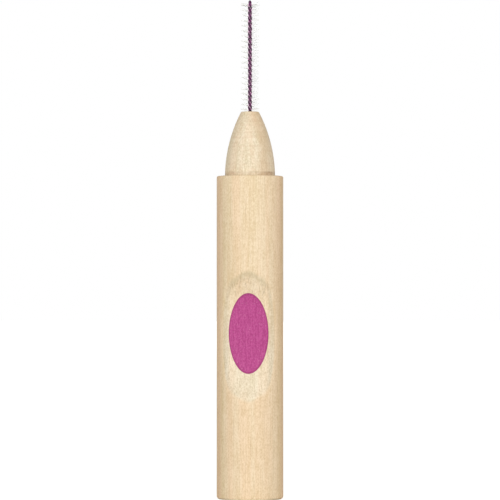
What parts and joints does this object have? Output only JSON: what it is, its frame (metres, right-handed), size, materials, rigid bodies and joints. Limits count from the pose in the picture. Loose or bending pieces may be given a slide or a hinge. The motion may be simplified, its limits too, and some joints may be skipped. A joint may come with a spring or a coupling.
{
  "type": "interdental brush",
  "caption": "Interdental brush with a turned birch handle, a thumb scoop with an oval colour mark, and nylon filaments in a bendable twisted-wire neck.",
  "frame": {"origin": "centre of the handle's sawn end, which the part stands on", "axes": "+Z along the handle towards the tip of the brush, -Y out of the thumb scoop, +X to the right when the scoop faces the viewer"},
  "size_m": [0.0064, 0.0064, 0.0479],
  "materials": {
    "birch": "fine-sanded, unvarnished",
    "mark_ink": "thin printed ink, matte",
    "adhesive": "cured, dark",
    "steel_wire": "drawn",
    "wire_coating": "smooth, satin",
    "nylon": "clear drawn filament"
  },
  "bodies": {
    "handle": {"handle": "birch", "size_mark": "mark_ink", "wire_adhesive": "adhesive", "wire_core_root": "steel_wire", "wire_coating_root": "wire_coating", "wire_core_neck": "steel_wire", "wire_coating_neck": "wire_coating", "bristles_neck": "nylon"},
    "brush_head": {"wire_core_head": "steel_wire", "wire_coating_head": "wire_coating", "bristles_head": "nylon"}
  },
  "joints": [
    {"name": "neck_bend", "type": "hinge", "parent": "handle", "child": "brush_head", "pos_m": [0, 0, 0.0383], "axis": [0, 1, 0], "range_deg": [-60, 60], "deforming": ["wire_core_neck", "wire_coating_neck", "bristles_neck"]}
  ]
}
